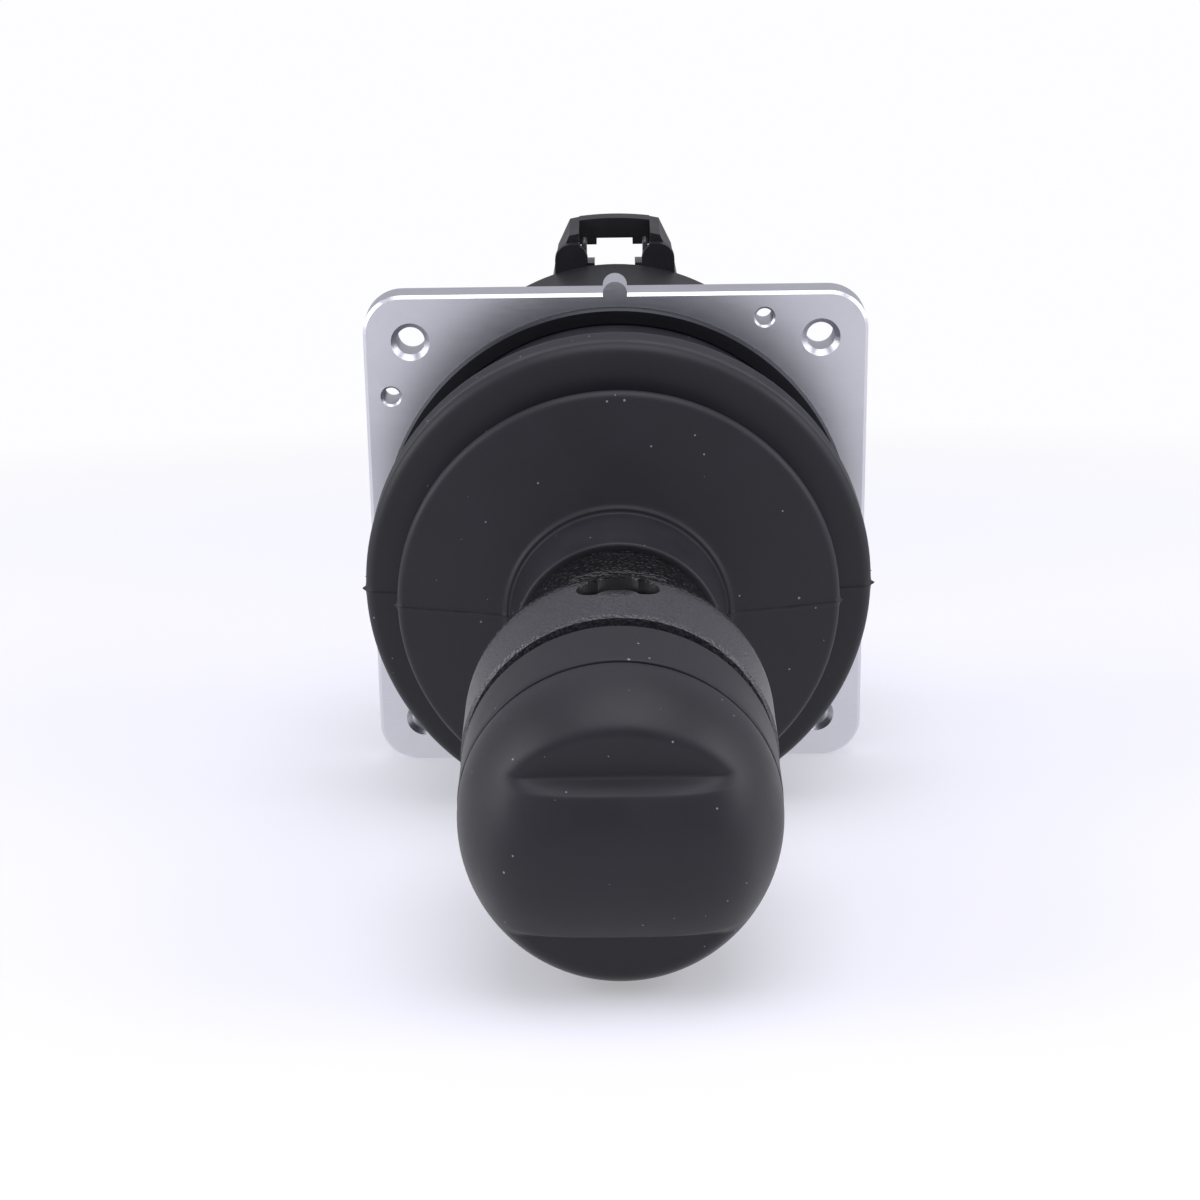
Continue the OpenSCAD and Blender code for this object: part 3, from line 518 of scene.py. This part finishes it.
class JOYSTICK_OT_finishes(bpy.types.Operator):
    """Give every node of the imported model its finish"""
    bl_idname = "joystick.finishes"
    bl_label = "Finishes"

    def execute(self, context):
        colours = context.scene.joystick_colours
        GROUPS["grain"] = grain_group()
        GROUPS["dust"] = dust_group()
        GROUPS["leather"] = leather_group()
        GROUPS["brushed"] = brushed_group()
        GROUPS["parting"] = parting_shade_group()
        GROUPS["zones"] = knob_zone_group()
        steel = metal_material("Ground steel", (0.56, 0.56, 0.59), 0.3, 260.0)
        zinc = metal_material("Zinc plated steel", (0.68, 0.68, 0.7), 0.24, 420.0)
        acetal = plastic_material("White acetal", (0.72, 0.7, 0.63), 0.42)
        block = plastic_material("Glass filled plastic", tuple(colours.plastic), 0.46)
        finishes = {
            metal_material("Milled aluminium", tuple(colours.flange), 0.34): ["flange_plate"],
            metal_material("Dark anodised ring", (0.05, 0.05, 0.058), 0.4): ["boot_ring"],
            metal_material("Machined aluminium", (0.62, 0.62, 0.65), 0.36): ["gimbal_ring", "knob_core"],
            metal_material("Bearing bronze", (0.6, 0.42, 0.2), 0.34): ["pivot_bushes"],
            metal_material("Tinned contact metal", (0.72, 0.72, 0.76), 0.26): ["terminals_y", "terminals_x"],
            metal_material("Spring steel", (0.42, 0.43, 0.47), 0.28): ["spring_x", "spring_y", "knob_spring"],
            steel: ["slotted_bail", "lever_hub", "lever_rod", "gimbal_pins", "lever_pins", "bail_pins"],
            zinc: ["clamp_screw", "housing_screws", "cover_screws", "frame_screws", "switch_screws"],
            grained_material(tuple(colours.grained)): ["knob_cup"],
            rubber_material("Boot rubber", tuple(colours.rubber), 0.5, 0.15, parting_line_shade=True): ["boot"],
            rubber_material("Cap rubber", tuple(colours.rubber), 0.48, 0.15): ["push_sleeve", "rubber_cap"],
            rubber_material("Grommet rubber", tuple(colours.rubber), 0.6, 0.0): ["wire_grommet"],
            plastic_material("Housing plastic", tuple(colours.plastic), 0.5):
                ["housing", "bottom_cover", "bearing_caps", "cap_core"],
            block: ["contact_frame_y", "contact_frame_x", "switches_y", "switches_x"],
            acetal: ["cam_x", "cam_y", "push_rod_left", "push_rod_right", "push_rod_front", "push_rod_rear"],
            plastic_material("Blue switch body", (0.03, 0.04, 0.16), 0.4): ["knob_switch"],
            plastic_material("Red button", (0.45, 0.04, 0.03), 0.36): ["switch_button"],
        }
        for material, names in finishes.items():
            for name in names:
                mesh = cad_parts[name].data
                mesh.materials.clear()
                mesh.materials.append(material)
        missing = [n for n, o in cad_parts.items() if not o.data.materials
                   or o.data.materials[0] not in finishes]
        if missing:
            raise RuntimeError(f"nodes without a finish: {missing}")
        return {"FINISHED"}


def boot_outlines(sizes):
    """Closed profiles of the boot's lower and upper parts, which meet at the bottom of the groove."""
    wall = sizes.boot_wall
    lip = 2.2 * MM
    groove_z = sizes.fold_high + 3.5 * MM
    groove_c = (sizes.groove_radius + wall, groove_z)
    bore = sizes.neck_bore
    neck_end_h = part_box("boot")[1].z - PLATE_TOP
    end_r = sizes.neck_radius - 1.4 * MM
    lower_out = [(sizes.root_radius, 0.9 * MM), (sizes.root_radius, sizes.fold_low - 4.2 * MM)]
    lower_out += arc((sizes.fold_radius - lip, sizes.fold_low + 1.2 * MM), lip, -62, 0, 8)
    lower_out += [(sizes.fold_radius - 0.35 * MM, (sizes.fold_low + sizes.fold_high) / 2)]
    lower_out += arc((sizes.fold_radius - lip, sizes.fold_high - 1.5 * MM), lip, 0, 76, 10)
    lower_out += arc(groove_c, wall, 248, 180, 6)
    lower_in = [(groove_c[0] - 2 * wall, groove_z)]
    lower_in += arc(groove_c, 2 * wall, 190, 245, 5)
    lower_in += [(sizes.fold_radius - 3.4 * MM, sizes.fold_high - wall),
                 (sizes.fold_radius - 2 * MM, sizes.fold_high - 3.4 * MM),
                 (sizes.fold_radius - 2 * MM, sizes.fold_low + 1.4 * MM),
                 (sizes.root_radius - wall, sizes.fold_low - 2.8 * MM),
                 (sizes.root_radius - wall, 1.6 * MM), (sizes.root_radius - 5.8 * MM, 0.7 * MM),
                 (sizes.root_radius - 5.8 * MM, 0.05 * MM), (sizes.root_radius + 0.7 * MM, 0.05 * MM),
                 (sizes.root_radius + 0.7 * MM, 0.65 * MM)]
    upper_out = arc(groove_c, wall, 180, 112, 6)
    upper_out += arc((sizes.disc_radius - 1.5 * MM, sizes.disc_height - 1.7 * MM), 1.5 * MM, -50, 80, 10)
    upper_out += [(sizes.neck_radius + 1.1 * MM, sizes.neck_height - 0.05 * MM)]
    upper_out += arc((sizes.neck_radius + 0.1 * MM, sizes.neck_height + 0.15 * MM), 0.45 * MM, 0, 105, 5)
    upper_out += [(sizes.neck_radius - 0.45 * MM, sizes.neck_height + 0.6 * MM)]
    upper_out += arc((end_r - 0.6 * MM, neck_end_h - 0.6 * MM), 0.6 * MM, 0, 90, 4)
    upper_in = [(bore, neck_end_h), (bore, sizes.neck_height - wall - 0.4 * MM),
                (sizes.groove_radius + 0.3 * MM, groove_z + wall + 2.1 * MM)]
    upper_in += arc(groove_c, 2 * wall, 115, 180, 5)
    return [[(r, h + PLATE_TOP) for r, h in outline] for outline in (lower_out + lower_in, upper_out + upper_in)]


class JOYSTICK_OT_boot(bpy.types.Operator):
    """Turn the rubber boot with its moulding line, in two parts"""
    bl_idname = "joystick.boot"
    bl_label = "Rubber boot"

    def execute(self, context):
        sizes = context.scene.joystick_sizes
        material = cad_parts["boot"].data.materials[0]
        angles = parting_angles(sizes.segments)
        rims = [(sizes.fold_radius, sizes.fold_low + 1.2 * MM), (sizes.fold_radius, sizes.fold_high - 1.5 * MM),
                (sizes.disc_radius, sizes.disc_height - 1.7 * MM)]

        def shift(radius, height, angle):
            across = abs(radius * sin(angle))
            ridge = sizes.parting_ridge * (1 - smooth_step(0.0, 0.45 * MM, across))
            for rim_radius, rim_height in rims:
                away = hypot(radius - rim_radius, height - PLATE_TOP - rim_height)
                near_rim = 1 - smooth_step(0, 0.9 * MM, away)
                near_line = 1 - smooth_step(0, 0.5 * MM, across)
                ridge += sizes.flash_nib * near_rim * near_line
            sway = noise.noise(Vector((cos(angle) * 1.7, sin(angle) * 1.7, height * 60)))
            return ridge + 0.09 * MM * sway

        groove_z = PLATE_TOP + sizes.fold_high + 3.5 * MM
        neck_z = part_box("boot")[1].z
        lower, upper = boot_outlines(sizes)
        spans = (("boot_lower", lower, "base", "gimbal", PLATE_TOP + 6 * MM, groove_z - 2 * MM),
                 ("boot_upper", upper, "gimbal", "lever", groove_z + 2 * MM, neck_z - 9 * MM))
        for name, outline, first, second, start, end in spans:
            piece = turned_ring(name, densify(outline, 0.8 * MM), angles, material, shift)
            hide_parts("boot")
            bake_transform(piece)
        return {"FINISHED"}


class JOYSTICK_OT_cap(bpy.types.Operator):
    """Model the soft cap with its two finger scoops"""
    bl_idname = "joystick.cap"
    bl_label = "Finger cap"

    def execute(self, context):
        sizes = context.scene.joystick_sizes
        low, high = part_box("rubber_cap")
        radius = high.x - 0.05 * MM
        centre = low.z + sizes.dome_drop
        floor = centre + sizes.scoop_floor
        bore, bore_top = 20.1 * MM, low.z + 8.1 * MM
        roller = high.z - centre
        bar_top = sizes.bar_half - sizes.bar_draft

        def height(x, y):
            sphere = centre + sqrt(max(radius ** 2 - x * x - y * y, 0.0))
            crown = centre + sqrt(roller ** 2 - min(abs(y), bar_top) ** 2) - x * x / 0.4
            dish = floor + 0.7 * MM * smooth_step(sizes.bar_half, radius, abs(y)) - x * x / 0.6
            slope = smooth_step(bar_top - 0.5 * MM, sizes.bar_half, abs(y) + 0.5 * MM * (x / radius) ** 2)
            cut = crown + (dish - crown) * slope
            return smooth_min(sphere, cut, (4.5 - 2.4 * slope) * MM)

        even = [-1 + 2 * i / 150 for i in range(1, 150)]
        edges = [side * (bar_top + sizes.bar_draft * (i / 8 - 0.3)) / radius for side in (-1, 1) for i in range(14)]
        rows = sorted([sin(pi / 2 * t) for t in even] + edges)
        columns = [sin(pi / 2 * (-1 + 2 * i / 120)) for i in range(121)]
        vertices = [(0.0, -radius, centre), (0.0, radius, centre)]
        for row in rows:
            y, half = radius * row, radius * sqrt(1 - row * row)
            for i, column in enumerate(columns):
                x = half * column
                vertices.append((x, y, centre if i in (0, len(columns) - 1) else height(x, y)))
        wide = len(columns)

        def at(row, column):
            return 2 + row * wide + column

        faces = []
        for i in range(wide - 1):
            faces.append((0, at(0, i + 1), at(0, i)))
            faces.append((at(len(rows) - 1, i), at(len(rows) - 1, i + 1), 1))
            for k in range(len(rows) - 1):
                faces.append((at(k, i), at(k, i + 1), at(k + 1, i + 1), at(k + 1, i)))
        right = [at(k, wide - 1) for k in range(len(rows))]
        left = [at(k, 0) for k in reversed(range(len(rows)))]
        rim = [0] + right + [1] + left
        directions = [(vertices[v][0] / radius, vertices[v][1] / radius) for v in rim]
        skirt = [(radius, low.z + 0.5 * MM), (radius - 0.5 * MM, low.z), (bore, low.z), (bore, bore_top)]
        for r, z in skirt:
            lower = [len(vertices) + i for i in range(len(directions))]
            vertices += [(r * c, r * d, z) for c, d in directions]
            for i, vertex in enumerate(rim):
                j = (i + 1) % len(rim)
                faces.append((vertex, lower[i], lower[j], rim[j]))
            rim = lower
        vertices.append((0.0, 0.0, bore_top))
        faces += [(rim[i], len(vertices) - 1, rim[(i + 1) % len(rim)]) for i in range(len(rim))]
        piece = make_object("finger_cap", vertices, faces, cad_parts["rubber_cap"].data.materials[0])
        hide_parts("rubber_cap")
        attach(piece, "push_cap")
        return {"FINISHED"}


class JOYSTICK_OT_sleeve(bpy.types.Operator):
    """Turn the rubber ring under the cap, with its slightly uneven upper edge"""
    bl_idname = "joystick.sleeve"
    bl_label = "Rubber ring"

    def execute(self, context):
        sizes = context.scene.joystick_sizes
        low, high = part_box("push_sleeve")
        radius, inner = high.x, 22.54 * MM
        outline = arc((radius - 0.9 * MM, low.z + 0.9 * MM), 0.9 * MM, -90, 0, 6)
        outline += arc((radius - 0.4 * MM, high.z - 0.4 * MM), 0.4 * MM, 0, 90, 4)
        outline += [(inner, high.z), (inner, low.z)]
        angles = [2 * pi * i / sizes.segments for i in range(sizes.segments)]

        def shift(r, z, angle):
            near_top = smooth_step(high.z - 1.5 * MM, high.z, z)
            outside = smooth_step(inner, radius, r)
            wander = abs(noise.noise(Vector((cos(angle) * 7, sin(angle) * 7, 3.1))))
            return -0.3 * MM * near_top * outside * wander

        piece = turned_ring("rubber_ring", densify(outline, 0.8 * MM), angles,
                            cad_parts["push_sleeve"].data.materials[0], shift)
        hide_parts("push_sleeve")
        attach(piece, "push_cap")
        return {"FINISHED"}


def round_wire_tree():
    """Geometry Nodes: sweeps a round wire along the edges of a path."""
    tree = bpy.data.node_groups.new("Round Wire", "GeometryNodeTree")
    tree.interface.new_socket("Geometry", in_out="INPUT", socket_type="NodeSocketGeometry")
    sockets = {}
    for label, kind, value in (("Wire Radius", "NodeSocketFloat", 0.0008), ("Sides", "NodeSocketInt", 14),
                               ("Material", "NodeSocketMaterial", None)):
        socket = tree.interface.new_socket(label, in_out="INPUT", socket_type=kind)
        if value is not None:
            socket.default_value = value
        sockets[label] = socket.identifier
    tree.interface.new_socket("Geometry", in_out="OUTPUT", socket_type="NodeSocketGeometry")
    start, end = tree.nodes.new("NodeGroupInput"), tree.nodes.new("NodeGroupOutput")
    path = tree.nodes.new("GeometryNodeMeshToCurve")
    section = tree.nodes.new("GeometryNodeCurvePrimitiveCircle")
    sweep = tree.nodes.new("GeometryNodeCurveToMesh")
    realize = tree.nodes.new("GeometryNodeRealizeInstances")
    finish = tree.nodes.new("GeometryNodeSetMaterial")
    sweep.inputs["Fill Caps"].default_value = True
    links = tree.links
    links.new(start.outputs["Geometry"], path.inputs["Mesh"])
    links.new(start.outputs["Sides"], section.inputs["Resolution"])
    links.new(start.outputs["Wire Radius"], section.inputs["Radius"])
    links.new(path.outputs["Curve"], sweep.inputs["Curve"])
    links.new(section.outputs["Curve"], sweep.inputs["Profile Curve"])
    links.new(sweep.outputs["Mesh"], realize.inputs["Geometry"])
    links.new(realize.outputs["Geometry"], finish.inputs["Geometry"])
    links.new(start.outputs["Material"], finish.inputs["Material"])
    links.new(finish.outputs["Geometry"], end.inputs["Geometry"])
    return tree, sockets


def wire_piece(name, path, radius, material, tree, sockets):
    """A path swept by the Round Wire tree and turned into a plain mesh."""
    mesh = bpy.data.meshes.new(name + "_path")
    mesh.from_pydata(path, [(i, i + 1) for i in range(len(path) - 1)], [])
    source = bpy.data.objects.new(name + "_path", mesh)
    bpy.context.scene.collection.objects.link(source)
    modifier = source.modifiers.new("Round Wire", "NODES")
    modifier.node_group = tree
    modifier[sockets["Wire Radius"]] = radius
    modifier[sockets["Material"]] = material
    evaluated = source.evaluated_get(bpy.context.evaluated_depsgraph_get())
    result = bpy.data.meshes.new_from_object(evaluated)
    bpy.data.objects.remove(source)
    result.polygons.foreach_set("use_smooth", [True] * len(result.polygons))
    piece = bpy.data.objects.new(name, result)
    bpy.context.scene.collection.objects.link(piece)
    return piece


class JOYSTICK_OT_springs(bpy.types.Operator):
    """Sweep round wire for the knob's return spring and the two centring springs"""
    bl_idname = "joystick.springs"
    bl_label = "Springs"

    def execute(self, context):
        tree, sockets = round_wire_tree()
        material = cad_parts["knob_spring"].data.materials[0]
        low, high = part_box("knob_spring")
        wire, turns, steps = 0.8 * MM, 4, 240
        radius = high.x - wire
        rise = high.z - low.z - 2 * wire
        path = [(radius * cos(2 * pi * turns * i / steps), radius * sin(2 * pi * turns * i / steps),
                 low.z + wire + rise * i / steps) for i in range(steps + 1)]
        pieces = [("return_spring", path, wire, "knob_spring", "lever")]
        for node, label in (("spring_y", "centring_spring_y"), ("spring_x", "centring_spring_x")):
            pieces.append((label, self.centring_path(node), 0.5 * MM, node, "base"))
        for name, points, thickness, node, body in pieces:
            piece = wire_piece(name, points, thickness, material, tree, sockets)
            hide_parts(node)
            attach(piece, body)
            if name == "return_spring":
                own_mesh(piece)
        return {"FINISHED"}

    def centring_path(self, node):
        """Coil round the pivot pin with two legs that hang down past the pegs."""
        low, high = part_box(node)
        wire, turns, steps = 0.5 * MM, 2.5, 120
        along = 1 if node == "spring_y" else 0
        radius = (high.x - low.x if along else high.y - low.y) / 2 - wire
        outer, inner = low[along] + wire, high[along] - wire
        axis_z = high.z - wire - radius
        foot = low.z + wire * 0.6
        points = [(2.2 * MM, inner, foot)]
        for i in range(steps + 1):
            a = 2 * pi * turns * i / steps
            points.append((radius * cos(a), inner + (outer - inner) * i / steps, axis_z + radius * sin(a)))
        points.append((-2.2 * MM, outer, foot))
        return points if along else [(y, -x, z) for x, y, z in points]


class JOYSTICK_OT_stage(bpy.types.Operator):
    """Set the pale sweep, the soft lights and the camera"""
    bl_idname = "joystick.stage"
    bl_label = "Stage"

    def execute(self, context):
        self.floor(context)
        self.world(context)
        self.lights(context)
        self.camera(context)
        context.scene.view_settings.view_transform = "Standard"
        return {"FINISHED"}

    def resting_plane(self):
        """The object lies on its flange's edge and its knob: a point of the sweep and its normal."""
        plate_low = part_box("flange_plate")[0]
        edge = Vector((0, plate_low.y, PLATE_TOP))
        lean = radians(9.9)
        return edge, Vector((0, cos(lean), -sin(lean)))

    def floor(self, context):
        point, normal = self.resting_plane()
        material = bpy.data.materials.new("Sweep")
        material.use_nodes = True
        tree = material.node_tree
        tree.nodes.clear()
        output = tree.nodes.new("ShaderNodeOutputMaterial")
        diffuse = tree.nodes.new("ShaderNodeBsdfDiffuse")
        diffuse.inputs["Color"].default_value = (*context.scene.joystick_colours.floor, 1)
        glow = tree.nodes.new("ShaderNodeEmission")
        glow.inputs["Color"].default_value = BACKDROP_COLOUR
        clear = tree.nodes.new("ShaderNodeBsdfTransparent")
        path = tree.nodes.new("ShaderNodeLightPath")
        geometry = tree.nodes.new("ShaderNodeNewGeometry")
        place = tree.nodes.new("ShaderNodeTexCoord")
        away = tree.nodes.new("ShaderNodeVectorMath")
        away.operation = "LENGTH"
        tree.links.new(place.outputs["Object"], away.inputs[0])
        share = remap(tree, away.outputs["Value"], 0.18, 0.5, 0.35, 1.0)
        glossy = maths(tree, "MULTIPLY", path.outputs["Is Glossy Ray"], 0.75)
        seen = maths(tree, "MAXIMUM", maths(tree, "MULTIPLY", path.outputs["Is Camera Ray"], share), glossy)
        lit = tree.nodes.new("ShaderNodeMixShader")
        sides = tree.nodes.new("ShaderNodeMixShader")
        links = tree.links
        links.new(seen, lit.inputs[0])
        links.new(diffuse.outputs[0], lit.inputs[1])
        links.new(glow.outputs[0], lit.inputs[2])
        links.new(geometry.outputs["Backfacing"], sides.inputs[0])
        links.new(lit.outputs[0], sides.inputs[1])
        links.new(clear.outputs[0], sides.inputs[2])
        links.new(sides.outputs[0], output.inputs["Surface"])
        half = 4.0
        turn = normal.to_track_quat("Z", "Y").to_matrix()
        corners = [point + turn @ Vector((x * half, y * half, 0))
                   for x, y in ((-1, -1), (1, -1), (1, 1), (-1, 1))]
        floor = make_object("sweep", [tuple(c) for c in corners], [(0, 1, 2, 3)], material, False)

    def world(self, context):
        world = bpy.data.worlds.new("Light tent")
        world.use_nodes = True
        tree = world.node_tree
        tent = tree.nodes["Background"]
        tent.inputs["Color"].default_value = (0.93, 0.93, 1.0, 1)
        tent.inputs["Strength"].default_value = 0.55
        backdrop = tree.nodes.new("ShaderNodeBackground")
        backdrop.inputs["Color"].default_value = BACKDROP_COLOUR
        backdrop.inputs["Strength"].default_value = 1.0
        path = tree.nodes.new("ShaderNodeLightPath")
        seen = maths(tree, "MAXIMUM", path.outputs["Is Camera Ray"], path.outputs["Is Transmission Ray"])
        both = tree.nodes.new("ShaderNodeMixShader")
        tree.links.new(seen, both.inputs[0])
        tree.links.new(tent.outputs[0], both.inputs[1])
        tree.links.new(backdrop.outputs[0], both.inputs[2])
        tree.links.new(both.outputs[0], tree.nodes["World Output"].inputs["Surface"])
        context.scene.world = world

    def lights(self, context):
        target = Vector((0, 0, 0.06))
        for name, place, size, power in LAMPS:
            data = bpy.data.lights.new(name, "AREA")
            data.shape = "SQUARE"
            data.size = size
            data.energy = power
            data.color = LAMP_COLOUR
            lamp = bpy.data.objects.new(name, data)
            lamp.matrix_world = Matrix.LocRotScale(
                Vector(place), (target - Vector(place)).to_track_quat("-Z", "Y"), None)
            context.scene.collection.objects.link(lamp)

    def camera(self, context):
        distance, side, rise = 536.4 * MM, 3.48 * MM, 13.13 * MM
        turn = (Matrix.Rotation(radians(0.85), 3, "Z") @ Matrix.Rotation(radians(21.5), 3, "X")
                @ Matrix.Rotation(radians(-0.47), 3, "Y"))
        back = turn.transposed()
        place = back @ Vector((-side, -rise, distance)) + Vector((0, 0, PLATE_TOP))
        data = bpy.data.cameras.new("camera")
        data.sensor_width = 36
        data.lens = 82.527
        data.clip_start = 0.01
        camera = bpy.data.objects.new("camera", data)
        camera.matrix_world = Matrix.Translation(place) @ back.to_4x4()
        context.scene.collection.objects.link(camera)
        context.scene.camera = camera


class JOYSTICK_PT_panel(bpy.types.Panel):
    """Lists the pieces that can be made"""
    bl_idname = "JOYSTICK_PT_panel"
    bl_label = "Industrial Joystick"
    bl_space_type = "VIEW_3D"
    bl_region_type = "UI"
    bl_category = "Joystick"

    def draw(self, context):
        for operator in STEPS:
            self.layout.operator(operator.bl_idname)


STEPS = (JOYSTICK_OT_stage, JOYSTICK_OT_finishes, JOYSTICK_OT_boot, JOYSTICK_OT_cap, JOYSTICK_OT_sleeve,
         JOYSTICK_OT_springs)
CLASSES = (JoystickSizes, JoystickColours, *STEPS, JOYSTICK_PT_panel)


def register():
    for cls in CLASSES:
        bpy.utils.register_class(cls)
    bpy.types.Scene.joystick_sizes = PointerProperty(type=JoystickSizes)
    bpy.types.Scene.joystick_colours = PointerProperty(type=JoystickColours)


def unregister():
    del bpy.types.Scene.joystick_sizes
    del bpy.types.Scene.joystick_colours
    for cls in reversed(CLASSES):
        bpy.utils.unregister_class(cls)


def main():
    register()
    bpy.ops.joystick.stage()
    bpy.ops.joystick.finishes()
    bpy.ops.joystick.boot()
    bpy.ops.joystick.cap()
    bpy.ops.joystick.sleeve()
    bpy.ops.joystick.springs()


if __name__ == "__main__":
    main()
